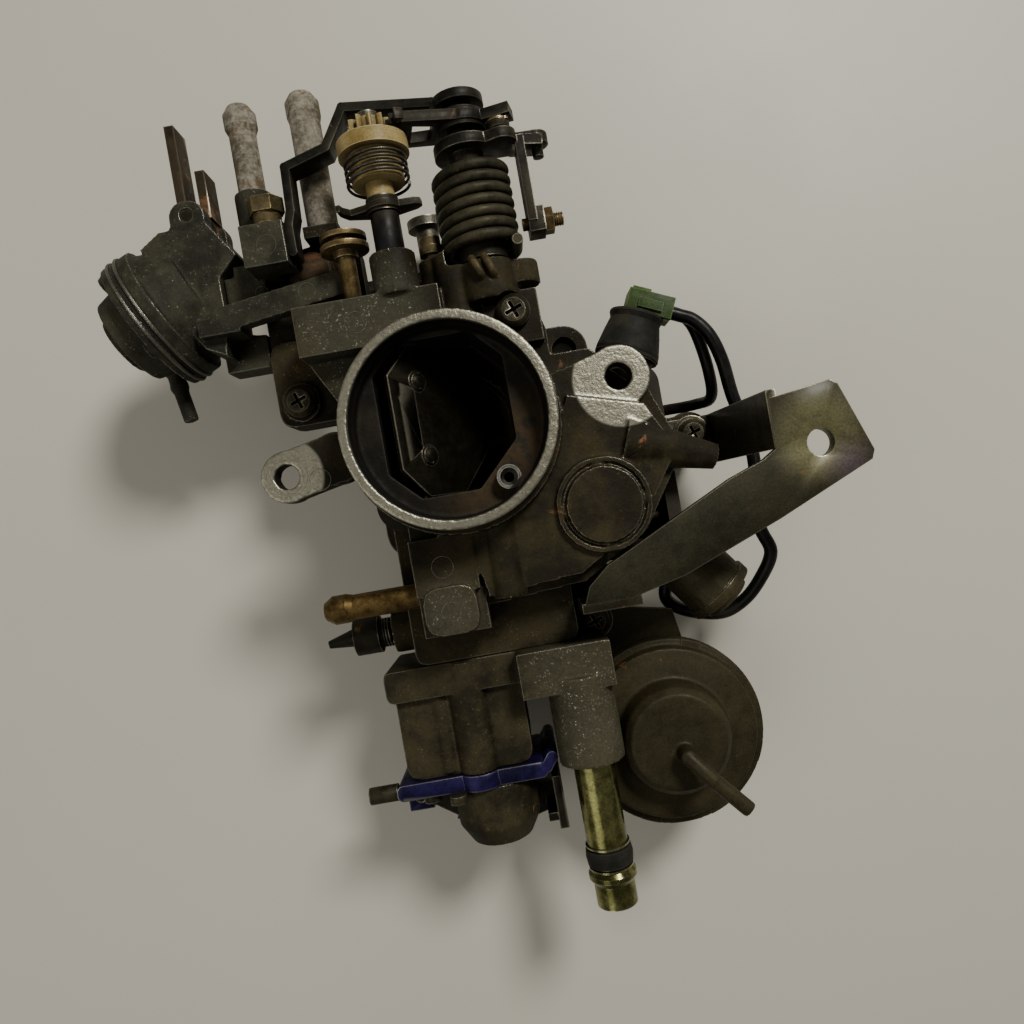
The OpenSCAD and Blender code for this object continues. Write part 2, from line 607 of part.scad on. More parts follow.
module can_rod() color([0.45, 0.45, 0.4]) translate([can_x, can_y, 0]) {
    zcyl(3, 9, 25);
    zcyl(18, 25, 26.4);
    difference() {
        translate([-3, -1.5, 3]) cube([6, 3, 8]);
        translate([0, 3, 6]) rotate([90, 0, 0]) cylinder(r = 1.2, h = 6);
    }
}

// ---- throttle positioner ----
module unit_housing() color([0.42, 0.42, 0.36]) difference() {
    union() {
        translate([unit_x, unit_y, unit_z]) rotate([0, 90, unit_turn]) {
            cylinder(r = unit_r, h = 5);
            translate([0, 0, -10]) cylinder(r1 = 15, r2 = 19, h = 10.1);
        }
        // body of the housing, drawn from above
        translate([0, 0, 38]) linear_extrude(24)
            polygon([[-82, 68], [-76, 72], [-62, 73.4], [-54.3, 62], [-60.3, 56], [-60.3, 43],
                [-62, 33], [-68, 36], [-77, 50]]);
        // clevis over the fork lever
        translate([0, 0, 38]) linear_extrude(23.5) bar2d([fork_x, fork_y - 1], [-68, 66], 11);
        // arms to the main body
        translate([0, 0, 60.2]) linear_extrude(5.4) bar2d([-60, 42.8], [-24.5, 47.6], 7.6);
        box(-68, -56, 38.5, 43.7, 55, 65.6);
        translate([0, 0, 42]) linear_extrude(10) polygon([[-66, 30], [-52.3, 30], [-52.3, 40], [-66, 42]]);
    }
    // working space of the rod and the fork lever
    translate([unit_x, unit_y, unit_z]) rotate([0, 90, unit_turn]) {
        cylinder(r = 14, h = 6);
        translate([0, 0, -16]) cylinder(r = 5, h = 17);
    }
    box(-80, -59.5, 55, 84, 43.6, 56.4);
    zcyl(2, 37, 63, fork_x, fork_y);
}
module unit_cover() color([0.4, 0.4, 0.34]) {
    translate([unit_x, unit_y, unit_z]) rotate([0, 90, unit_turn]) {
        difference() {
            union() {
                translate([0, 0, 6]) cylinder(r = unit_r, h = 3.4);
                translate([0, 0, 9.3]) cylinder(r1 = 15, r2 = 13.4, h = 8);
                translate([0, 0, 17.2]) cylinder(r = 9, h = 2.5);
            }
            translate([0, 0, 5]) cylinder(r = 12, h = 10.5);
        }
        for (a = [40, 140, 220, 320])
            rotate(a) translate([17.7, 0, 9.2]) cylinder(r = 2.6, h = 1.6);
    }
    unit_tube();
}
module unit_tube() color([0.34, 0.34, 0.3]) {
    run([-86.2, 36.6, 42], [-85.3, 31, 42], 2.6);
    translate([-85.3, 31, 42]) sphere(r = 2.9);
    run([-85.3, 31, 42], [-83.3, 19.5, 42], 2.3);
}
module unit_rod() color([0.5, 0.48, 0.42]) translate([unit_x, unit_y, unit_z]) rotate([0, 90, unit_turn]) {
    translate([0, 0, 5]) cylinder(r = 11, h = 1.2);
    translate([0, 0, -9]) cylinder(r = 1.8, h = 14.2);
    translate([0, 0, -11.4]) cylinder(r = 3.4, h = 2.5);
}
module fork_lever() color([0.33, 0.26, 0.19]) difference() {
    union() {
        box(-71.8, -68.9, 77, 107, 45, 54);
        box(-64.6, -61.7, 77, 91.5, 46, 55);
        box(-71.8, -61.7, 79.5, 83.5, 46, 49);
        zcyl(4.6, 45, 55, fork_x, fork_y);
        box(-70, -62.5, 74, 81, 46, 49);
        // inner arm in front of the rod's button
        translate([0, 0, 47]) linear_extrude(6) bar2d([fork_x, fork_y], [-66.7, 58.2], 3.6);
    }
    zcyl(2.06, 40, 60, fork_x, fork_y);
}

// ---- levers, shafts and springs ----
module return_spring() color([0.24, 0.22, 0.17])
    translate([lever_x, 47.3, lever_z]) rotate([-90, 0, 0])
        sweep(concat([[9.9, -9, 0]], coil(9.9, 7, 3.25, 16)), 1.55, 8);
module lever_shaft() color([0.35, 0.33, 0.28]) {
    ycyl(3.95, 33, 94, lever_x, lever_z);
    difference() {
        ycyl(7, 45, 71, lever_x, lever_z);
        ycyl(3.9, 44, 72, lever_x, lever_z);
    }
}
module choke_spring() color([0.3, 0.3, 0.28])
    translate([choke_x, 69.5, choke_z]) rotate([-90, 0, 0]) sweep(coil(8.6, 4, 1.8, 16), 0.45, 6);
module choke_shaft() color([0.5, 0.48, 0.4]) difference() {
    ycyl(3, -23.5, 90, choke_x, choke_z);
    translate([choke_x, 0, choke_z]) rotate([0, 45, 0]) box(-4, 4, -18.9, 23.9, 0, 4);
}
module choke_plate() color([0.45, 0.42, 0.28]) translate([choke_x, 0, choke_z]) rotate([0, 45, 0]) {
    translate([-choke_x, 0, 0.02]) linear_extrude(1.4) chamber2d(0.4);
    for (y = [13.8, -7.1]) translate([0, y, 1.3]) {
        cylinder(r1 = 2.9, r2 = 2.4, h = 0.9);
        translate([0, 0, 0.8]) cylinder(r1 = 2.4, r2 = 1.2, h = 0.7);
    }
}
function inv_xy(rb, t) = rb * [cos(t) + t * PI / 180 * sin(t), sin(t) - t * PI / 180 * cos(t)];
function inv_angle(t) = t - atan(t * PI / 180);
// One gear tooth about +X, between root and tip, thinned by the backlash
module tooth(rp, backlash, add, ded) {
    rb = rp * cos(20);
    half = 90 * gear_module / (2 * rp) - backlash / (2 * rp) * 180 / PI;
    t_pitch = tan(20) * 180 / PI;
    shift = half + inv_angle(t_pitch);
    t_tip = sqrt(pow((rp + add) / rb, 2) - 1) * 180 / PI;
    flank = [for (k = [0:5]) let (p = inv_xy(rb, t_tip * k / 5)) [p[0] * cos(shift) + p[1] * sin(shift),
        p[0] * sin(shift) - p[1] * cos(shift)]];
    root = (rp - ded - 0.3);
    low = [root * cos(shift * 0.98), root * sin(shift * 0.98)];
    polygon(concat([low], flank, [for (k = [5:-1:0]) [flank[k][0], -flank[k][1]]], [[low[0], -low[1]]]));
}
module choke_pinion() color([0.78, 0.7, 0.42]) difference() {
    union() {
        ycyl(3.9, 66, 70.2, choke_x, choke_z);
        ycyl(7.4, 70, 78.2, choke_x, choke_z);
        ycyl(10, 78, 82, choke_x, choke_z);
        yplate(81.9, 88) translate([choke_x, choke_z]) {
            circle(pinion_r - 1.1);
            rotate(mesh_angle - 180 + 180 / pinion_teeth) for (k = [0:pinion_teeth - 1])
                rotate(k * 360 / pinion_teeth) tooth(pinion_r, 0.35, 0.9, 1.1);
        }
    }
    ycyl(3 + fit, 65, 89, choke_x, choke_z);
}
module choke_lever() color([0.2, 0.18, 0.14]) difference() {
    union() {
        yplate(83.5, 86.5) translate([lever_x, lever_z]) {
            circle(7.5);
            rotate(mesh_angle) {
                difference() {
                    polygon([[0, -7], [0, 7], [19.4, 7.6], [19.4, -7.6]]);
                    polygon([[8.5, -3.6], [8.5, 3.6], [14.5, 4.4], [14.5, -4.4]]);
                }
                intersection() {
                    circle(sector_r - 1.1);
                    polygon([[15, -6.4], [15, 6.4], [22, 9.5], [22, -9.5]]);
                }
                for (k = [-3:3])
                    rotate(k * 360 / sector_teeth) tooth(sector_r, 0.35, 0.8, 1.2);
            }
            // tail with the stop finger
            rotate(mesh_angle + 205) translate([0, -3]) square([15, 6]);
        }
        ycyl(7, 82.4, 87.5, lever_x, lever_z);
    }
    ycyl(4 + fit, 80, 90, lever_x, lever_z);
}
module throttle_lever() color([0.22, 0.21, 0.17]) difference() {
    union() {
        ycyl(5.2, 72.4, 76.5, lever_x, lever_z);
        ycyl(7, 76, 79.6, lever_x, lever_z);
        yplate(76, 79) translate([lever_x, lever_z]) {
            circle(9);
            bar2d([0, 0], [crank_dx, crank_dz], 9);
            bar2d([0, 0], [20, -1], 8);
        }
        // pin that carries the link rod
        ycyl(2, 78.5, 82.3, lever_x + crank_dx, lever_z + crank_dz);
        // hook end for the cable
        translate([lever_x + 12.5, 76, lever_z - 5]) rotate([0, 0, -8]) cube([9.5, 3, 8]);
        ycyl(1.6, 72.6, 79.5, lever_x + 20.6, lever_z - 1);
        // bent tab with the adjusting screw
        box(31.2, 33.8, 53.5, 78, lever_z - 5, lever_z + 4);
        box(31.2, 36, 50.5, 57.5, lever_z - 4.5, lever_z + 3.5);
    }
    ycyl(4 + fit, 70, 82, lever_x, lever_z);
    xcyl(1.8, 29, 38, 54, lever_z - 0.5);
}
module lever_screw() color([0.38, 0.36, 0.3]) {
    xcyl(1.75, 29.6, 41.4, 54, lever_z - 0.5);
    translate([36.1, 54, lever_z - 0.5]) rotate([0, 90, 0]) cylinder(r = 3.8, h = 2.4, $fn = 6);
}
module link_rod() color([0.3, 0.28, 0.22]) difference() {
    yplate(link_y0, link_y1) {
        bar2d([lever_x + crank_dx, lever_z + crank_dz], [crank_dx, throttle_z + crank_dz], 5);
        translate([lever_x + crank_dx, lever_z + crank_dz]) circle(3.3);
        translate([crank_dx, throttle_z + crank_dz]) circle(3.3);
    }
    ycyl(2.06, 78, 83, lever_x + crank_dx, lever_z + crank_dz);
    ycyl(2.06, 78, 83, crank_dx, throttle_z + crank_dz);
}
// Cam whose radius grows with its angle, so that the pump arm rises evenly
module cam2d() {
    polygon([for (a = [80:5:185]) (cam_base + cam_rise * (a - 90)) * [cos(a), sin(a)]]);
    circle(5.2);
    polygon([[0, 0], 5.6 * [cos(80), sin(80)], 14 * [cos(178), sin(178)], 4 * [cos(215), sin(215)]]);
}
module throttle_shaft() color([0.45, 0.43, 0.37]) difference() {
    union() {
        difference() {
            ycyl(4, -37, 79, 0, throttle_z);
            translate([0, 0, throttle_z]) rotate([0, plate_tilt, 0]) box(-5, 5, -16.95, 16.95, 0, 5);
        }
        yplate(pump_y0, pump_y1) translate([0, throttle_z]) cam2d();
        yplate(76, 79) {
            bar2d([0, throttle_z], [crank_dx, throttle_z + crank_dz], 7);
            translate([0, throttle_z]) circle(6.5);
        }
        ycyl(2, 78.5, 82.3, crank_dx, throttle_z + crank_dz);
        // stop arm at the far end
        yplate(-38.5, -36) bar2d([0, throttle_z], [2, throttle_z + 12], 7);
    }
}
module throttle_plate() color([0.65, 0.55, 0.3])
    translate([0, 0, throttle_z]) rotate([0, plate_tilt, 0]) {
        translate([0, 0, 0.02]) cylinder(r = 16.75, h = 1.4);
        for (y = [-8, 8]) translate([0, y, 1.3]) cylinder(r = 2.6, h = 1.3);
    }
module pump_lever() color([0.4, 0.36, 0.26]) difference() {
    union() {
        yplate(pump_y0, pump_y1) {
            bar2d([pump_pivot_x, pump_pivot_z], [0, pump_pivot_z + 0.5], 5);
            bar2d([0, pump_pivot_z + 0.5], [0, 27.5], 5);
        }
        ycyl(3, 53, 57, 0, 27.5);
        ycyl(4.2, 53, 57, pump_pivot_x, pump_pivot_z);
    }
    ycyl(1.56, 50, 60, pump_pivot_x, pump_pivot_z);
}
module pump_plunger() color([0.5, 0.42, 0.3]) translate([pump_x, pump_y, 0]) {
    zcyl(1.5, 33.9, 46);
    zcyl(7, 45, 49);
}
module float() color([0.62, 0.5, 0.25]) {
    difference() {
        rbox(31, 54, -23, 3, 37, 48, 4);
        rbox(32, 53, -22, 2, 38, 47, 3);
    }
    box(31.5, 33, -36, -22, 45, 48);
    box(49, 51, -36, -22, 45, 48);
    difference() {
        union() {
            box(31.5, 33, -37.5, -32.5, 45, 55);
            box(49, 51, -37.5, -32.5, 45, 55);
        }
        xcyl(1.56, 30, 52, float_pin_y, float_pin_z);
    }
    box(32, 50, -34, -25, 46, 47.6);
}
module needle() color([0.6, 0.6, 0.56]) translate([needle_x, needle_y, 0]) {
    zcyl(2, 50, 59);
    translate([0, 0, 59]) cylinder(r1 = 2, r2 = 0.5, h = 1.6);
    zcyl(1.2, 47.75, 50);
}

air_horn();
main_body();
throttle_flange();
lid_gasket();
insulator();
venturi();
booster_venturi();
vent_tube();
needle_seat();
pivot_pins();
fuel_nipple();
hose_nipple_left();
hose_nipple_right();
nipple_block();
brass_plugs();
strap_bracket();
support_bracket();
bracket_screws();
body_screws();
choke_bush();
pivot_bolt();
idle_solenoid();
solenoid_boot();
connector();
harness_wires();
vent_solenoid();
thermo_housing();
thermo_plate();
thermo_cap();
wax_element();
coolant_pipe();
pipe_o_ring();
can_cover();
can_base();
diaphragms();
diaphragm_springs();
unit_housing();
unit_cover();
return_spring();
lever_shaft();
choke_spring();
pump_cap();
mixture_screw();
choke_shaft();
choke_plate();
choke_pinion();
choke_lever();
throttle_lever();
lever_screw();
link_rod();
throttle_shaft();
throttle_plate();
pump_lever();
pump_plunger();
float();
needle();
can_rod();
unit_rod();
fork_lever();
fast_idle_lever();
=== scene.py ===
import math

import bmesh
import bpy
from mathutils import Matrix, Vector


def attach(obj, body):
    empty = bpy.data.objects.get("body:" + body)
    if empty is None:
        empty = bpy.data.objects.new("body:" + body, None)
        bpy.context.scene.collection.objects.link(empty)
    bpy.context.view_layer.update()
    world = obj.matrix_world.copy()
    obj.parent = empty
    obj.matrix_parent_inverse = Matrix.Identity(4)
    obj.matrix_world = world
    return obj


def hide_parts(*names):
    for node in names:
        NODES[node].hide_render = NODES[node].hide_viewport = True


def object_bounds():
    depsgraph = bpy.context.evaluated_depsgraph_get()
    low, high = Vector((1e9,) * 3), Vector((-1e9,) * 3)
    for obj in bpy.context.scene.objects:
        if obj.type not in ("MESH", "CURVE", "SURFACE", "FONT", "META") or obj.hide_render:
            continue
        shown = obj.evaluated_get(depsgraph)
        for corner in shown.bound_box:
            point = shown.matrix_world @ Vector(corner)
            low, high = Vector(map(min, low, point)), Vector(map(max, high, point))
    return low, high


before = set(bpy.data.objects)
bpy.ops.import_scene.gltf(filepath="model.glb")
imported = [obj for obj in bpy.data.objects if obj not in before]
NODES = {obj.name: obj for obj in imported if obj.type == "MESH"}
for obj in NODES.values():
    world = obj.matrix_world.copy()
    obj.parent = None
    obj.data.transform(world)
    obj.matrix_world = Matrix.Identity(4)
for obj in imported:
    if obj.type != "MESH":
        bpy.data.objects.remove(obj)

CAD_BOX = [list(corner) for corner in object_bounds()]
MM = 0.001
ROOT = "throttle_body"
FLOOR_GAP = 0.0002

# ---- camera: straight down on the inlet, turned ten degrees ----
camera_data = bpy.data.cameras.new("camera")
camera = bpy.data.objects.new("camera", camera_data)
bpy.context.scene.collection.objects.link(camera)
camera.location = (0.0123, -0.0267, 0.288)
camera.rotation_euler = (0, 0, math.radians(-10))
camera_data.sensor_width = 36
camera_data.lens = 27.07
camera_data.clip_start = 0.01
camera_data.clip_end = 20
bpy.context.scene.camera = camera


# ---- material graphs ----
class Graph:
    """A material's node tree, with short calls for the nodes used here."""

    def __init__(self, name):
        self.material = bpy.data.materials.new(name)
        self.material.use_nodes = True
        self.tree = self.material.node_tree
        self.tree.nodes.clear()
        self.out = self.tree.nodes.new("ShaderNodeOutputMaterial")
        self.shader = self.tree.nodes.new("ShaderNodeBsdfPrincipled")
        self.tree.links.new(self.shader.outputs[0], self.out.inputs[0])
        self.place = self.tree.nodes.new("ShaderNodeTexCoord").outputs["Object"]
        self.geometry = self.tree.nodes.new("ShaderNodeNewGeometry")

    def put(self, socket, value):
        if isinstance(value, bpy.types.NodeSocket):
            self.tree.links.new(value, socket)
        elif isinstance(value, (tuple, list)) and len(value) == 3 and len(socket.default_value) == 4:
            socket.default_value = (*value, 1)
        else:
            socket.default_value = value

    def math(self, op, a, b=0.0, clamp=False):
        n = self.tree.nodes.new("ShaderNodeMath")
        n.operation = op
        n.use_clamp = clamp
        self.put(n.inputs[0], a)
        self.put(n.inputs[1], b)
        return n.outputs[0]

    def vector(self, op, a, b):
        n = self.tree.nodes.new("ShaderNodeVectorMath")
        n.operation = op
        self.put(n.inputs[0], a)
        self.put(n.inputs[1], b)
        return n.outputs["Value"] if op in ("DOT_PRODUCT", "DISTANCE", "LENGTH") else n.outputs[0]

    def ramp(self, value, low, high, to_low=0.0, to_high=1.0):
        n = self.tree.nodes.new("ShaderNodeMapRange")
        n.interpolation_type = "SMOOTHSTEP"
        for k, v in enumerate((value, low, high, to_low, to_high)):
            self.put(n.inputs[k], v)
        return n.outputs[0]

    def mix(self, share, a, b, blend="MIX"):
        n = self.tree.nodes.new("ShaderNodeMix")
        n.data_type = "RGBA"
        n.blend_type = blend
        n.clamp_factor = True
        self.put(n.inputs[0], share)
        self.put(n.inputs[6], a)
        self.put(n.inputs[7], b)
        return n.outputs[2]

    def noise(self, scale, detail=5.0, rough=0.6, warp=0.0):
        n = self.tree.nodes.new("ShaderNodeTexNoise")
        self.put(n.inputs["Vector"], self.place)
        n.inputs["Scale"].default_value = scale
        n.inputs["Detail"].default_value = detail
        n.inputs["Roughness"].default_value = rough
        n.inputs["Distortion"].default_value = warp
        return n.outputs[0]

    def bump(self, height, strength, distance, normal=None):
        n = self.tree.nodes.new("ShaderNodeBump")
        n.inputs["Strength"].default_value = strength
        n.inputs["Distance"].default_value = distance
        self.put(n.inputs["Height"], height)
        if normal is not None:
            self.put(n.inputs["Normal"], normal)
        return n.outputs[0]

    def edges(self, radius):
        """About 1 on edges whose round is near radius, 0 on flat faces."""
        n = self.tree.nodes.new("ShaderNodeBevel")
        n.samples = 4
        n.inputs["Radius"].default_value = radius
        dot = self.vector("DOT_PRODUCT", n.outputs[0], self.geometry.outputs["True Normal"])
        return self.ramp(dot, 0.985, 0.84)

    def openness(self, distance):
        n = self.tree.nodes.new("ShaderNodeAmbientOcclusion")
        n.samples = 4
        n.inputs["Distance"].default_value = distance
        return n.outputs["AO"]

    def near(self, centre, radius, low_z=None, soft=0.0006):
        """1 within radius of a point's vertical axis, above low_z."""
        n = self.tree.nodes.new("ShaderNodeSeparateXYZ")
        self.put(n.inputs[0], self.place)
        flat = self.tree.nodes.new("ShaderNodeCombineXYZ")
        self.put(flat.inputs[0], n.outputs[0])
        self.put(flat.inputs[1], n.outputs[1])
        d = self.vector("DISTANCE", flat.outputs[0], (centre[0], centre[1], 0.0))
        inside = self.ramp(d, radius + soft, radius - soft)
        if low_z is not None:
            inside = self.math("MULTIPLY", inside, self.ramp(n.outputs[2], low_z - 0.0002, low_z + 0.0002))
        return inside


# colours shared by every look, painted shade and painted light among them, and the places they go, in
# metres
# the first colour here is painted shade, mixed into corners and recesses
SHADE_TONE = (0.012, 0.010, 0.007)
DUST = (0.098, 0.078, 0.038)
# painted shade for the inlet's inner walls, and a rust brown that is painted light on its ledge
BORE_SHADE, LEDGE_LIT_RUST = (0.008, 0.007, 0.005), (0.048, 0.030, 0.013)
THROAT = ((0.0, 0.0), 0.0264)
THROAT_TOP = 0.0874
# the lower right part of the inlet's ledge, where its painted light goes
LEDGE_LIT_PATCH = ((0.013, -0.014), 0.018)
SPECULAR = 0.22
EDGE_REACH = 0.0006
CORNER_REACH = 0.007


def surface(name, dark, light, bright, rough=(0.62, 0.8), worn_rough=0.36, metal=0.0, worn_metal=0.9,
            wear=0.8, speck=0.35, grain=(1500, 0.25), lumps=(260, 0.2), patch=60,
            rust=0.0, rust_colour=(0.16, 0.07, 0.025), corner_shade=0.6, dust=0.15, machined=(), coat=0.0,
            tints=(), throat=False, contrast=1.0):
    """A used surface: two tones of grime in patches, bright wear on edges and in specks, painted shade in
    corners, dust on top, rust blooms, cast or brushed grain."""
    g = Graph(name)
    big = g.noise(patch, 5, 0.6, 0.3)
    mid = g.noise(patch * 5, 6, 0.65)
    fine = g.noise(grain[0], 4, 0.6)
    open_ = g.openness(CORNER_REACH)
    edge = g.math("MULTIPLY", g.edges(EDGE_REACH), g.ramp(open_, 0.35, 0.7))
    spread = 0.12 / contrast
    tone = g.mix(g.ramp(g.math("ADD", g.math("MULTIPLY", big, 0.6), g.math("MULTIPLY", mid, 0.4)),
                        0.5 - spread, 0.5 + spread), dark, light)
    salt = 0.5 if tints else 1.0
    for centre, reach, tint in tints:
        zone = g.near(centre, reach, None, 0.006)
        tone = g.mix(g.math("MULTIPLY", zone, g.ramp(mid, 0.2, 0.6, 0.6, 1.0)), tone, tint)
        salt = g.math("ADD", zone, salt)
    tone = g.mix(g.ramp(fine, 0.25, 0.8, 0.0, 0.45), tone, (0.0, 0.0, 0.0), "MULTIPLY")
    if rust:
        bloom = g.ramp(g.noise(patch * 1.7, 8, 0.7, 0.8), 0.66 - 0.26 * rust, 0.74 - 0.2 * rust)
        tone = g.mix(bloom, tone, g.mix(mid, rust_colour, [c * 2.2 for c in rust_colour]))
    dots = g.math("MULTIPLY", g.ramp(g.noise(grain[0] * 1.3, 2, 0.5), 0.56, 0.70), g.ramp(mid, 0.40, 0.62))
    specks = g.math("MULTIPLY", dots, g.math("MULTIPLY", salt, speck))
    chips = g.math("ADD", g.math("MULTIPLY", edge, wear), specks)
    worn = g.ramp(chips, 0.12, 0.62)
    for centre, reach, low_z in machined:
        zone = g.near(centre, reach, low_z)
        zone = g.math("MULTIPLY", zone, g.ramp(mid, 0.3, 0.42, 0.35, 1.0))
        worn = g.math("MAXIMUM", worn, zone)
    if throat:
        # inside the inlet, below its rim: painted shade on the walls, and on the ledge a rust brown patch
        # of painted light, only at the lower right where the light falls
        shaded_bore = g.math("MULTIPLY", g.near(*THROAT, None, 0.0002),
                      g.math("SUBTRACT", 1.0, g.near(*THROAT, THROAT_TOP, 0.0002)))
        flat = g.tree.nodes.new("ShaderNodeSeparateXYZ")
        g.put(flat.inputs[0], g.geometry.outputs["Normal"])
        lit_ledge = g.math("MULTIPLY", g.ramp(flat.outputs[2], 0.5, 0.9), g.ramp(mid, 0.3, 0.6))
        lit_ledge = g.math("MULTIPLY", lit_ledge, g.near(*LEDGE_LIT_PATCH, None, 0.010))
        tone = g.mix(shaded_bore, tone, g.mix(lit_ledge, BORE_SHADE, LEDGE_LIT_RUST))
        worn = g.math("MULTIPLY", worn, g.ramp(shaded_bore, 0.0, 1.0, 1.0, 0.12))
    # no bright wear down in the corners
    worn = g.math("MULTIPLY", worn, g.ramp(open_, 0.15, 0.5))
    colour = g.mix(worn, tone, g.mix(g.ramp(fine, 0.3, 0.7), bright, [c * 0.72 for c in bright]))
    # painted shade: the dark grime colour is mixed in by ambient occlusion, so corners and recesses come
    # out darker
    colour = g.mix(g.ramp(open_, 0.1, 0.85, corner_shade, 0.0), colour, SHADE_TONE)
    if dust:
        up = g.tree.nodes.new("ShaderNodeSeparateXYZ")
        g.put(up.inputs[0], g.geometry.outputs["Normal"])
        lying = g.math("MULTIPLY", g.ramp(up.outputs[2], 0.4, 0.95), g.ramp(big, 0.42, 0.66))
        colour = g.mix(g.math("MULTIPLY", lying, dust), colour, DUST)
    g.put(g.shader.inputs["Base Color"], colour)
    g.put(g.shader.inputs["Metallic"], g.ramp(worn, 0.0, 1.0, metal, worn_metal))
    dull = g.ramp(mid, 0.35, 0.65, rough[0], rough[1])
    g.put(g.shader.inputs["Roughness"],
          g.math("ADD", g.math("MULTIPLY", worn, g.math("SUBTRACT", worn_rough, dull)), dull))
    g.shader.inputs["Specular IOR Level"].default_value = SPECULAR
    if coat:
        g.shader.inputs["Coat Weight"].default_value = coat
        g.shader.inputs["Coat Roughness"].default_value = 0.25
    normal = g.bump(g.noise(lumps[0], 4, 0.6), lumps[1], 0.0006)
    normal = g.bump(fine, grain[1], 0.0003, normal)
    g.put(g.shader.inputs["Normal"], normal)
    return g.material


# zones of the air horn: (x, y) centre, reach and lowest height
RING = ((0.0, 0.0), 0.0302, 0.0868)
EARS = (((0.0490, 0.0050), 0.0135, 0.0700), ((-0.0490, -0.0060), 0.0108, 0.0700))
CAST_DARK, CAST_LIGHT, CAST_BRIGHT = (0.0125, 0.0098, 0.0034), (0.038, 0.0300, 0.0108), (0.40, 0.385, 0.30)

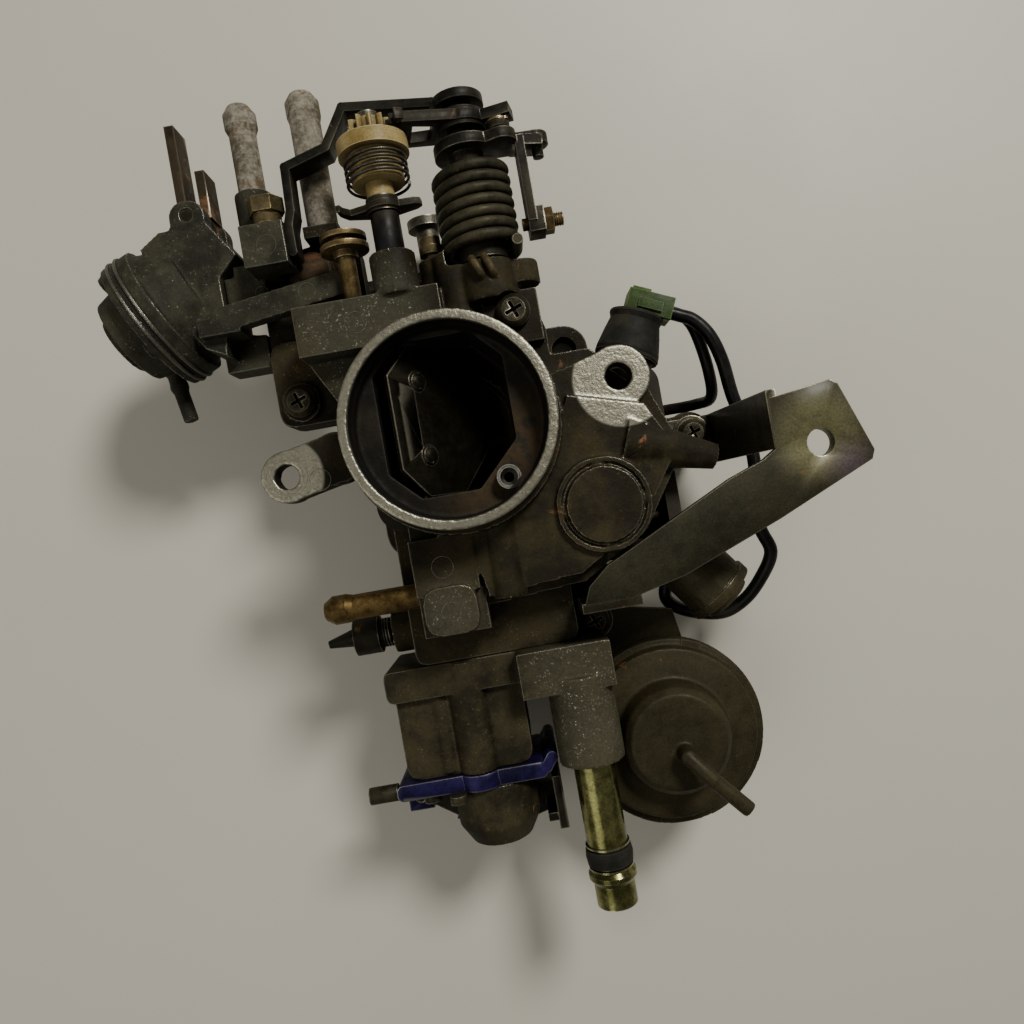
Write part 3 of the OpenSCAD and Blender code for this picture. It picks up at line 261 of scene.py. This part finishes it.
LOOKS = {
    "horn": surface("horn_casting", CAST_DARK, CAST_LIGHT, CAST_BRIGHT, speck=0.46, rust=0.12,
                    machined=(RING, *EARS), grain=(1300, 0.4), lumps=(240, 0.35), throat=True,
                    tints=(((-0.020, 0.032), 0.018, (0.060, 0.058, 0.037)),
                           ((-0.009, -0.052), 0.009, (0.070, 0.066, 0.042)))),
    "casting": surface("body_casting", CAST_DARK, CAST_LIGHT, CAST_BRIGHT, speck=0.36, rust=0.12,
                       grain=(1300, 0.4), lumps=(240, 0.35)),
    "grey_casting": surface("grey_casting", (0.020, 0.020, 0.0125), (0.058, 0.057, 0.036),
                            (0.36, 0.36, 0.30), speck=0.42, grain=(1500, 0.3), lumps=(300, 0.25)),
    "thermo_casting": surface("thermo_casting", (0.017, 0.0145, 0.0065), (0.050, 0.0415, 0.0190),
                              CAST_BRIGHT, speck=0.6, rust=0.1, grain=(1300, 0.4), lumps=(240, 0.35),
                              tints=(((0.0235, -0.097), 0.013, (0.086, 0.080, 0.050)),
                                     ((0.022, -0.076), 0.013, (0.066, 0.061, 0.037)))),
    "venturi": surface("venturi_casting", (0.03, 0.025, 0.015), (0.09, 0.07, 0.04), (0.4, 0.38, 0.3),
                       speck=0.2, corner_shade=0.8),
    "fibre": surface("gasket_fibre", (0.018, 0.016, 0.013), (0.05, 0.043, 0.034), (0.1, 0.09, 0.07),
                     worn_metal=0.0, grain=(2600, 0.5), wear=0.3),
    "bright_tube": surface("bright_tube", (0.2, 0.19, 0.16), (0.34, 0.33, 0.29), (0.62, 0.61, 0.56),
                           metal=0.8, rough=(0.3, 0.5), speck=0.2, corner_shade=0.5, dust=0.0),
    "brass": surface("aged_brass", (0.085, 0.054, 0.020), (0.255, 0.170, 0.062), (0.58, 0.43, 0.18),
                     metal=0.85, rough=(0.38, 0.6), worn_rough=0.25, speck=0.22, corner_shade=0.7, dust=0.05,
                     grain=(1800, 0.12), lumps=(300, 0.08)),
    "plug_brass": surface("plug_brass", (0.05, 0.042, 0.022), (0.16, 0.12, 0.055), (0.5, 0.4, 0.2),
                          metal=0.4, rough=(0.5, 0.7), speck=0.2, corner_shade=0.7),
    "pale_nipple": surface("corroded_zinc", (0.115, 0.095, 0.062), (0.43, 0.40, 0.33), (0.60, 0.58, 0.51),
                           metal=0.1, rough=(0.6, 0.85), rust=0.5, rust_colour=(0.085, 0.058, 0.030),
                           speck=0.3, patch=110, grain=(1400, 0.5), lumps=(420, 0.45), corner_shade=0.5),
    "dark_steel": surface("dark_steel", (0.010, 0.009, 0.006), (0.034, 0.031, 0.019), (0.27, 0.25, 0.20),
                          metal=0.35, rough=(0.45, 0.68), speck=0.12, rust=0.2, grain=(1700, 0.12),
                          lumps=(260, 0.1), dust=0.12),
    "fork_steel": surface("rusty_fork", (0.016, 0.012, 0.007), (0.054, 0.039, 0.022), (0.27, 0.22, 0.16),
                          metal=0.2, rust=0.45, rust_colour=(0.10, 0.05, 0.022), speck=0.12,
                          rough=(0.6, 0.85)),
    "bracket": surface("bracket_zinc", (0.022, 0.0205, 0.0110), (0.054, 0.050, 0.0275), (0.30, 0.28, 0.20),
                       metal=0.45, rough=(0.48, 0.62), speck=0.14, rust=0.08, grain=(1500, 0.10),
                       lumps=(200, 0.05), dust=0.06, contrast=0.5, wear=0.6, coat=0.15,
                       tints=(((0.101, -0.021), 0.011, (0.165, 0.155, 0.075)),
                              ((0.108, -0.030), 0.005, (0.14, 0.11, 0.12)))),
    "strap": surface("strap_steel", (0.009, 0.0082, 0.006), (0.026, 0.0235, 0.015), (0.13, 0.12, 0.09),
                     metal=0.3, rough=(0.42, 0.6), speck=0.10, rust=0.12, wear=0.45, grain=(1700, 0.12),
                     lumps=(260, 0.08), dust=0.08),
    "gold_zinc": surface("gold_zinc", (0.09, 0.06, 0.022), (0.24, 0.17, 0.07), (0.5, 0.42, 0.26),
                         metal=0.6, rough=(0.4, 0.6), speck=0.2),
    "screws": surface("screw_steel", (0.020, 0.018, 0.011), (0.064, 0.057, 0.035), (0.34, 0.32, 0.24),
                      metal=0.5, rough=(0.42, 0.62), speck=0.15, wear=0.9),
    "black": surface("black_plastic", (0.006, 0.006, 0.0055), (0.018, 0.017, 0.015), (0.06, 0.057, 0.05),
                     worn_metal=0.0, worn_rough=0.4, rough=(0.4, 0.6), speck=0.1, wear=0.5,
                     grain=(2200, 0.1), lumps=(500, 0.04), dust=0.2),
    "rubber": surface("boot_rubber", (0.010, 0.011, 0.009), (0.030, 0.030, 0.024), (0.075, 0.07, 0.058),
                      worn_metal=0.0, worn_rough=0.6, rough=(0.6, 0.8), speck=0.16, wear=0.5,
                      grain=(1800, 0.2), lumps=(260, 0.12), dust=0.25),
    "green": surface("green_plastic", (0.024, 0.048, 0.008), (0.070, 0.130, 0.026), (0.16, 0.25, 0.08),
                     worn_metal=0.0, worn_rough=0.4, rough=(0.4, 0.6), speck=0.15, wear=0.5, dust=0.1),
    "wire": surface("wire_sleeve", (0.005, 0.005, 0.005), (0.014, 0.014, 0.013), (0.04, 0.04, 0.036),
                    worn_metal=0.0, worn_rough=0.35, rough=(0.3, 0.5), speck=0.08, wear=0.4,
                    grain=(2600, 0.06), lumps=(420, 0.05), dust=0.1),
    "violet": surface("violet_steel", (0.008, 0.006, 0.036), (0.022, 0.014, 0.110), (0.36, 0.34, 0.33),
                      metal=0.35, rough=(0.34, 0.52), speck=0.06, wear=0.7, grain=(1800, 0.1),
                      lumps=(220, 0.08), dust=0.06),
    "chromate": surface("chromate", (0.10, 0.105, 0.032), (0.34, 0.33, 0.13), (0.62, 0.6, 0.42),
                        metal=0.92, rough=(0.16, 0.3), worn_rough=0.18, speck=0.08, corner_shade=0.45,
                        grain=(1500, 0.04), lumps=(160, 0.05), dust=0.0),
    "can": surface("can_skin", (0.030, 0.0255, 0.0118), (0.064, 0.0545, 0.0255), (0.24, 0.21, 0.14),
                   metal=0.25, rough=(0.46, 0.64), speck=0.11, rust=0.1, patch=45, grain=(1600, 0.10),
                   lumps=(150, 0.05), dust=0.16, contrast=0.5, wear=0.5),
    "spring": surface("spring_wire", (0.028, 0.0255, 0.0150), (0.078, 0.071, 0.043), (0.26, 0.24, 0.18),
                      metal=0.4, rough=(0.48, 0.68), speck=0.14, rust=0.3, grain=(1700, 0.15), dust=0.2),
    "thin_spring": surface("thin_spring_wire", (0.03, 0.026, 0.02), (0.09, 0.08, 0.06), (0.35, 0.33, 0.28),
                           metal=0.6, rough=(0.4, 0.6), speck=0.1, dust=0.0),
    "rust": surface("rusty_dome", (0.026, 0.017, 0.009), (0.070, 0.045, 0.024), (0.26, 0.20, 0.14),
                    metal=0.0, rust=0.6, rust_colour=(0.075, 0.034, 0.014), speck=0.14, rough=(0.7, 0.9),
                    grain=(1200, 0.5)),
    "shaft": surface("ground_shaft", (0.06, 0.055, 0.042), (0.19, 0.175, 0.14), (0.45, 0.43, 0.38),
                     metal=0.7, rough=(0.35, 0.55), speck=0.15, dust=0.0),
    # painted shade: the plate's own dark steel tones are darkened further to stand in for the shade inside
    # the inlet
    "choke": surface("choke_plate", (0.009, 0.0078, 0.0042), (0.022, 0.0190, 0.0095), (0.42, 0.39, 0.30),
                     metal=0.5, rough=(0.4, 0.6), speck=0.06, wear=1.1, worn_metal=0.6, corner_shade=0.25,
                     grain=(1600, 0.1), lumps=(120, 0.05), dust=0.0, contrast=0.5),
    "ivory": surface("ivory_nylon", (0.29, 0.205, 0.066), (0.50, 0.385, 0.165), (0.66, 0.56, 0.31),
                     worn_metal=0.0, worn_rough=0.4, rough=(0.42, 0.55), speck=0.12, wear=0.5, corner_shade=0.75,
                     grain=(2200, 0.05), lumps=(300, 0.05), dust=0.0),
}
LOOK_OF = {
    "horn": ["air_horn"],
    "casting": ["main_body", "throttle_flange"],
    "grey_casting": ["nipple_block", "unit_housing", "unit_cover"],
    "thermo_casting": ["thermo_housing", "thermo_cap"],
    "venturi": ["venturi", "booster_venturi"],
    "fibre": ["lid_gasket", "insulator"],
    "bright_tube": ["vent_tube"],
    "brass": ["needle_seat", "fuel_nipple", "wax_element", "throttle_plate", "float"],
    "plug_brass": ["brass_plugs"],
    "pale_nipple": ["hose_nipple_left", "hose_nipple_right"],
    "dark_steel": ["throttle_lever", "fast_idle_lever", "mixture_screw", "link_rod", "lever_shaft"],
    "strap": ["strap_bracket", "choke_lever"],
    "fork_steel": ["fork_lever"],
    "bracket": ["support_bracket"],
    "gold_zinc": ["pivot_bolt", "lever_screw"],
    "screws": ["bracket_screws", "body_screws", "pivot_pins"],
    "black": ["choke_bush", "idle_solenoid"],
    "rubber": ["solenoid_boot", "pipe_o_ring", "diaphragms"],
    "green": ["connector"],
    "wire": ["harness_wires"],
    "violet": ["thermo_plate"],
    "chromate": ["coolant_pipe"],
    "can": ["can_cover", "can_base", "vent_solenoid"],
    "spring": ["return_spring", "diaphragm_springs"],
    "thin_spring": ["choke_spring"],
    "rust": ["pump_cap"],
    "shaft": ["choke_shaft", "throttle_shaft", "can_rod", "unit_rod", "needle", "pump_lever",
              "pump_plunger"],
    "choke": ["choke_plate"],
    "ivory": ["choke_pinion"],
}
for look, members in LOOK_OF.items():
    for name in members:
        mesh = NODES[name].data
        mesh.materials.clear()
        mesh.materials.append(LOOKS[look])


# ---- casting fillets and turned edges, as modifiers on the CAD nodes ----
WELD = 0.000002
VOXEL = 0.0005
SMOOTH_PASSES = 4
EDGE_WIDTH = 0.00025


def cast_round(name):
    """Rounds every edge of a casting a little."""
    o = NODES[name]
    weld = o.modifiers.new("weld", "WELD")
    weld.merge_threshold = WELD
    remesh = o.modifiers.new("remesh", "REMESH")
    remesh.mode = "VOXEL"
    remesh.voxel_size = VOXEL
    remesh.use_smooth_shade = True
    smooth = o.modifiers.new("smooth", "SMOOTH")
    smooth.factor = 0.5
    smooth.iterations = SMOOTH_PASSES


def edge_round(name):
    """Breaks the sharp edges of a pressed or turned part."""
    o = NODES[name]
    weld = o.modifiers.new("weld", "WELD")
    weld.merge_threshold = WELD
    bevel = o.modifiers.new("bevel", "BEVEL")
    bevel.width = EDGE_WIDTH
    bevel.segments = 2
    bevel.limit_method = "ANGLE"
    bevel.angle_limit = math.radians(32)
    bevel.harden_normals = True
    bevel.use_clamp_overlap = True
    for p in o.data.polygons:
        p.use_smooth = True


for name in ("air_horn", "main_body", "throttle_flange", "thermo_housing", "unit_housing",
             "nipple_block", "thermo_cap", "unit_cover", "can_cover"):
    cast_round(name)
for name in ("support_bracket", "strap_bracket", "thermo_plate", "throttle_lever", "choke_lever",
             "fork_lever", "fast_idle_lever", "link_rod", "connector", "idle_solenoid",
             "vent_solenoid", "choke_bush", "pivot_bolt", "brass_plugs", "body_screws", "bracket_screws",
             "choke_plate"):
    edge_round(name)

# ---- mesh builders for the added pieces, all in millimetres in the row frame ----
JOIN_MM = 0.0005


def piece(name, bm, look, body=ROOT, replaces=()):
    """Makes an object from bm that rides a body, and drops the CAD nodes it replaces."""
    bmesh.ops.recalc_face_normals(bm, faces=bm.faces)
    data = bpy.data.meshes.new(name)
    bm.to_mesh(data)
    bm.free()
    data.transform(Matrix.Scale(MM, 4))
    data.materials.append(LOOKS[look])
    for p in data.polygons:
        p.use_smooth = True
    data.set_sharp_from_angle(angle=math.radians(38))
    o = bpy.data.objects.new(name, data)
    bpy.context.scene.collection.objects.link(o)
    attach(o, body)
    if replaces:
        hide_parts(*replaces)


def frames_along(points):
    """A moving frame along a line that turns as little as it can."""
    tangents = []
    for k in range(len(points)):
        a, b = points[max(k - 1, 0)], points[min(k + 1, len(points) - 1)]
        tangents.append((b - a).normalized())
    side = tangents[0].orthogonal().normalized()
    out = []
    for t in tangents:
        side = (side - t * side.dot(t)).normalized()
        out.append((side, t.cross(side)))
    return out


def tube(bm, points, radius, sides=14):
    """Round closed tube along points."""
    points = [Vector(p) for p in points]
    rings = []
    for p, (u, v) in zip(points, frames_along(points)):
        rings.append([bm.verts.new(p + radius * (math.cos(a) * u + math.sin(a) * v))
                      for a in (2 * math.pi * k / sides for k in range(sides))])
    for a, b in zip(rings, rings[1:]):
        for k in range(sides):
            bm.faces.new((a[k], a[(k + 1) % sides], b[(k + 1) % sides], b[k]))
    bm.faces.new(rings[0][::-1])
    bm.faces.new(rings[-1])


def curve_through(points, steps=6):
    """Smooth line through points (Catmull-Rom)."""
    pts = [Vector(p) for p in points]
    pts = [2 * pts[0] - pts[1], *pts, 2 * pts[-1] - pts[-2]]
    out = []
    for k in range(1, len(pts) - 2):
        p0, p1, p2, p3 = pts[k - 1:k + 3]
        for s in range(steps):
            t = s / steps
            out.append(0.5 * (2 * p1 + (p2 - p0) * t + (2 * p0 - 5 * p1 + 4 * p2 - p3) * t * t
                              + (3 * p1 - p0 - 3 * p2 + p3) * t ** 3))
    out.append(pts[-2])
    return out


def lathe(bm, profile, place, segments=64, start=0.0, sweep_by=2 * math.pi):
    """Turns (radius, height) points about local Z; place is a matrix to the row frame."""
    full = abs(sweep_by - 2 * math.pi) < 1e-6
    count = segments if full else segments + 1
    rings = []
    for k in range(count):
        a = start + sweep_by * k / segments
        rings.append([bm.verts.new(place @ Vector((r * math.cos(a), r * math.sin(a), z)))
                      for r, z in profile])
    for k in range(segments):
        a, b = rings[k], rings[(k + 1) % count]
        for j in range(len(profile)):
            n = (j + 1) % len(profile)
            bm.faces.new((a[j], b[j], b[n], a[n]))
    if not full:
        bm.faces.new(rings[0])
        bm.faces.new(rings[-1][::-1])
    bmesh.ops.remove_doubles(bm, verts=bm.verts, dist=JOIN_MM)


def coil_points(centre, y0, radius, pitch, turns, steps):
    """Helix along Y that starts at y0."""
    angles = (2 * math.pi * k / steps for k in range(turns * steps + 1))
    return [(centre.x + radius * math.cos(a), y0 + pitch * a / (2 * math.pi),
             centre.z - radius * math.sin(a)) for a in angles]


def mark(bm, centre, radius, width=0.35, height=0.14):
    """Raised ring on a flat face, seen from above."""
    profile = [(radius - width, -0.25), (radius - width * 0.6, height),
               (radius - width * 0.2, height), (radius + width * 0.2, -0.25)]
    lathe(bm, profile, Matrix.Translation(centre), 40)


def plate(bm, outline, y0, y1, centre):
    """A flat plate: outline is in (X, Z) about centre, from y0 to y1."""
    face = bm.faces.new([bm.verts.new((centre.x + x, y0, centre.z + z)) for x, z in outline])
    made = bmesh.ops.extrude_face_region(bm, geom=[face])["geom"]
    top = [v for v in made if isinstance(v, bmesh.types.BMVert)]
    bmesh.ops.translate(bm, verts=top, vec=(0, y1 - y0, 0))
    rim = [e for e in bm.edges if abs(e.verts[0].co.y - e.verts[1].co.y) < JOIN_MM]
    bmesh.ops.bevel(bm, geom=rim, offset=0.3, segments=2, affect="EDGES", profile=0.5)


def e_clip(bm, x, z):
    """Open retaining ring with three lugs, round a crank pin along Y."""
    turn = Matrix.Translation((x, CLIP_Y, z)) @ Matrix.Rotation(math.radians(-90), 4, "X")
    lathe(bm, [(CLIP_IN, 0.0), (CLIP_OUT, 0.0), (CLIP_OUT, 0.6), (CLIP_IN, 0.6)], turn, 28,
          math.radians(35), math.radians(290))
    middle, lug = (CLIP_IN + CLIP_OUT) / 2, (CLIP_OUT - CLIP_IN) * 0.75
    for angle in (math.radians(a) for a in (35, 180, 325)):
        spot = turn @ Matrix.Translation((middle * math.cos(angle), middle * math.sin(angle), 0.3))
        lathe(bm, [(0.0, -0.33), (lug, -0.33), (lug, 0.33), (0.0, 0.33)], spot, 14)


# ---- added pieces ----
CLIP_Y, CLIP_IN, CLIP_OUT = 81.95, 1.9, 3.2
LEVER = Vector((17.0, 0.0, 72.0 - math.sqrt(26.0 ** 2 - 25.5 ** 2)))
CHOKE = Vector((-8.5, 0.0, 72.0))

# return spring, choke spring: round wire with real turns
bm = bmesh.new()
leg = [(LEVER.x + 9.9, 47.3, LEVER.z + h) for h in (9.0, 7.0, 5.0, 3.0, 1.5)]
tube(bm, leg + coil_points(LEVER, 47.3, 9.9, 3.25, 7, 32), 1.53, 14)
piece("return_spring_wire", bm, "spring", replaces=["return_spring"])
bm = bmesh.new()
tube(bm, coil_points(CHOKE, 69.5, 8.6, 1.8, 4, 36), 0.44, 10)
piece("choke_spring_wire", bm, "thin_spring", replaces=["choke_spring"])

# wires, in their sleeves
WIRE_A = [(72.48, 28.61, 38.3), (77.05, 26.58, 38.3), (81, 24.2, 38.8), (85, 18.5, 39.3), (88, 10, 38),
          (90, -2, 36), (93, -16, 36), (92.5, -32, 37), (91, -45, 37), (93.5, -54, 36), (90, -62, 33),
          (84, -69, 30), (76, -72.5, 27.5), (65, -70, 25.5), (59, -65, 25.5), (60, -58, 26.5)]
WIRE_B = [(73.21, 30.25, 33.4), (77.78, 28.22, 33.4), (80.8, 25, 33.8), (82.6, 19, 34.3), (84.5, 8, 33),
          (85.5, 0, 27), (82, -0.8, 19), (72, -0.5, 14), (60, 0, 10), (50.2, 0, 6.5)]
bm = bmesh.new()
tube(bm, curve_through(WIRE_A, 7), 2.15, 16)
tube(bm, curve_through(WIRE_B, 7), 1.95, 16)
piece("wire_sleeves", bm, "wire", replaces=["harness_wires"])

# raised ejector marks on the air horn, the nipple block and the positioner housing
bm = bmesh.new()
for centre, radius in (((-21.0, 32.0, 76.5), 3.1), ((-39.5, -8.3, 70.5), 3.2), ((52.5, -10.5, 72.4), 2.6),
                       ((-9.5, -38.5, 73.0), 3.2), ((-9.0, -51.0, 74.5), 2.8)):
    mark(bm, centre, radius)
piece("horn_marks", bm, "horn")
bm = bmesh.new()
for centre, radius in (((-42.8, 59.5, 70.95), 2.9), ((-49.4, 50.2, 59.75), 2.0)):
    mark(bm, centre, radius)
piece("block_marks", bm, "grey_casting")
bm = bmesh.new()
for centre, radius in (((-35.0, 46.4, 65.55), 2.6), ((-77.5, 62.5, 62.0), 2.7)):
    mark(bm, centre, radius)
piece("housing_marks", bm, "grey_casting")

# lever on the choke shaft, between its bush and the pinion
bm = bmesh.new()
outline = [(5.2 * math.cos(a), 5.2 * math.sin(a)) for a in (math.radians(k) for k in range(250, 301, 10))]
outline += [(9.5, -2.0), (11.0, -0.5), (10.8, 1.6), (9.0, 2.6)]
outline += [(5.4 * math.cos(a), 5.4 * math.sin(a)) for a in (math.radians(k) for k in range(30, 151, 15))]
outline += [(-9.0, 1.4), (-10.6, 3.4), (-11.2, 5.6), (-12.4, 5.2), (-12.0, 1.6), (-10.2, -1.8)]
plate(bm, outline, 62.3, 64.3, CHOKE)
lathe(bm, [(3.03, 61.7), (4.6, 61.7), (4.6, 65.8), (3.03, 65.8)],
      Matrix.Translation(CHOKE) @ Matrix.Rotation(math.radians(-90), 4, "X"), 36)
piece("choke_stop_lever", bm, "dark_steel", body="choke")

# clips on the link rod's two crank pins
CRANK_X, CRANK_Z = 11.0 * math.cos(math.radians(21)), 11.0 * math.sin(math.radians(21))
THROTTLE_Z = 17.5
bm = bmesh.new()
e_clip(bm, LEVER.x + CRANK_X, LEVER.z + CRANK_Z)
piece("upper_link_clip", bm, "gold_zinc", body="throttle_lever")
bm = bmesh.new()
e_clip(bm, CRANK_X, THROTTLE_Z + CRANK_Z)
piece("lower_link_clip", bm, "gold_zinc", body="throttle")

# rings of the solenoid boot, and the folded collar at its mouth
BOOT = (Matrix.Translation((50, -1, 36)) @ Matrix.Rotation(math.radians(66), 4, "Z")
        @ Matrix.Rotation(math.radians(90), 4, "Y"))
bm = bmesh.new()
for z, r in ((19.6, 10.35), (32.9, 8.7)):
    foot, crest = r - 0.7, r + 0.12
    lathe(bm, [(foot, z - 0.6), (crest, z - 0.35), (crest, z + 0.35), (foot, z + 0.6)], BOOT, 48)
piece("boot_rings", bm, "rubber")

# coolant pipe rings: the black seal sits between two turned lips
PIPE = Matrix.Translation((23.5, -102.5, 54)) @ Matrix.Rotation(math.radians(90), 4, "X")
bm = bmesh.new()
for z in (27.8, 34.6):
    lathe(bm, [(6.1, z - 0.5), (6.75, z - 0.25), (6.75, z + 0.25), (6.1, z + 0.5)], PIPE, 48)
piece("pipe_lips", bm, "chromate")

# spring under the mixture screw's head
bm = bmesh.new()
tube(bm, [(-35.3 + 0.9 * a / (2 * math.pi), -57.5 + 4.3 * math.cos(a), 42 + 4.3 * math.sin(a))
          for a in (2 * math.pi * k / 24 for k in range(24 * 4 + 1))], 0.38, 8)
piece("mixture_spring", bm, "thin_spring")

# crimped tabs round the rim of the vacuum can
CAN = Vector((50.5, -105.0, 0.0))
bm = bmesh.new()
for k in range(8):
    turn = Matrix.Translation(CAN) @ Matrix.Rotation(math.radians(22.5 + 45 * k), 4, "Z")
    lathe(bm, [(27.2, 39.7), (29.7, 39.7), (29.7, 40.25), (27.6, 40.5)], turn, 6, -0.11, 0.22)
piece("can_tabs", bm, "can")

# two bent prongs on the lever shaft boss
bm = bmesh.new()
for x in (13.4, 16.9):
    tube(bm, curve_through([(x, 44.5, 74.4), (x + 0.7, 42.4, 76.3), (x + 1.7, 39.9, 76.2),
                            (x + 2.3, 38.6, 74.6)], 5), 1.15, 12)
piece("lug_prongs", bm, "plug_brass")

# tool marks round the ear holes
bm = bmesh.new()
for radius in (5.3, 6.6, 7.7):
    mark(bm, (48.635, 5.97, 70.5), radius, 0.3, 0.07)
for radius in (4.9, 6.0):
    mark(bm, (-48.635, -5.97, 70.5), radius, 0.3, 0.07)
piece("ear_marks", bm, "horn")

# thread at the end of the adjusting screw
bm = bmesh.new()
SCREW = Matrix.Translation((0, 54.0, LEVER.z - 0.5)) @ Matrix.Rotation(math.radians(90), 4, "Y")
for k in range(4):
    z = 38.75 + 0.7 * k
    lathe(bm, [(1.6, z), (2.0, z + 0.25), (2.0, z + 0.35), (1.6, z + 0.6)], SCREW, 28)
piece("adjuster_thread", bm, "gold_zinc", body="throttle_lever")

# pressed rims of the positioner's flange
UNIT = (Matrix.Translation((-79, 52.5, 50)) @ Matrix.Rotation(math.radians(205), 4, "Z")
        @ Matrix.Rotation(math.radians(90), 4, "Y"))
bm = bmesh.new()
for z in (4.3, 6.8):
    lathe(bm, [(20.0, z - 0.6), (20.9, z - 0.45), (21.1, z), (20.9, z + 0.45), (20.0, z + 0.6)], UNIT, 72)
piece("unit_rims", bm, "grey_casting")


# ---- floor and light ----
FLOOR_TONES = (0.655, 0.63, 0.545), (0.695, 0.67, 0.585)
FLOOR_HALF = 3.0
LIGHT_AIM = (0.01, -0.01, 0.03)
bottom = CAD_BOX[0][2] - FLOOR_GAP


def floor_material():
    g = Graph("floor")
    patches = g.noise(3.0, 3, 0.5)
    g.put(g.shader.inputs["Base Color"], g.mix(g.ramp(patches, 0.35, 0.65), *FLOOR_TONES))
    g.put(g.shader.inputs["Roughness"], g.ramp(g.noise(9.0, 4, 0.6), 0.3, 0.7, 0.50, 0.60))
    g.put(g.shader.inputs["Normal"], g.bump(g.noise(40, 2, 0.5), 0.05, 0.0005))
    return g.material


mesh = bpy.data.meshes.new("floor")
corners = [(-1, -1), (1, -1), (1, 1), (-1, 1)]
mesh.from_pydata([(FLOOR_HALF * x, FLOOR_HALF * y, bottom) for x, y in corners], [], [(0, 1, 2, 3)])
mesh.materials.append(floor_material())
floor = bpy.data.objects.new("floor", mesh)
bpy.context.scene.collection.objects.link(floor)


def area_light(name, place, size, power, colour):
    data = bpy.data.lights.new(name, "AREA")
    data.shape = "DISK"
    data.size = size
    data.energy = power
    data.color = colour
    o = bpy.data.objects.new(name, data)
    bpy.context.scene.collection.objects.link(o)
    o.location = place
    o.rotation_euler = (Vector(LIGHT_AIM) - Vector(place)).to_track_quat("-Z", "Y").to_euler()


area_light("key", (0.45, 0.55, 0.85), 0.26, 8.6, (1.0, 0.975, 0.90))
area_light("fill", (-0.7, -0.3, 0.9), 0.9, 2.4, (1.0, 0.97, 0.88))
world = bpy.data.worlds.new("world")
world.use_nodes = True
background = world.node_tree.nodes["Background"]
background.inputs["Color"].default_value = (1.0, 0.97, 0.89, 1)
background.inputs["Strength"].default_value = 0.155
bpy.context.scene.world = world
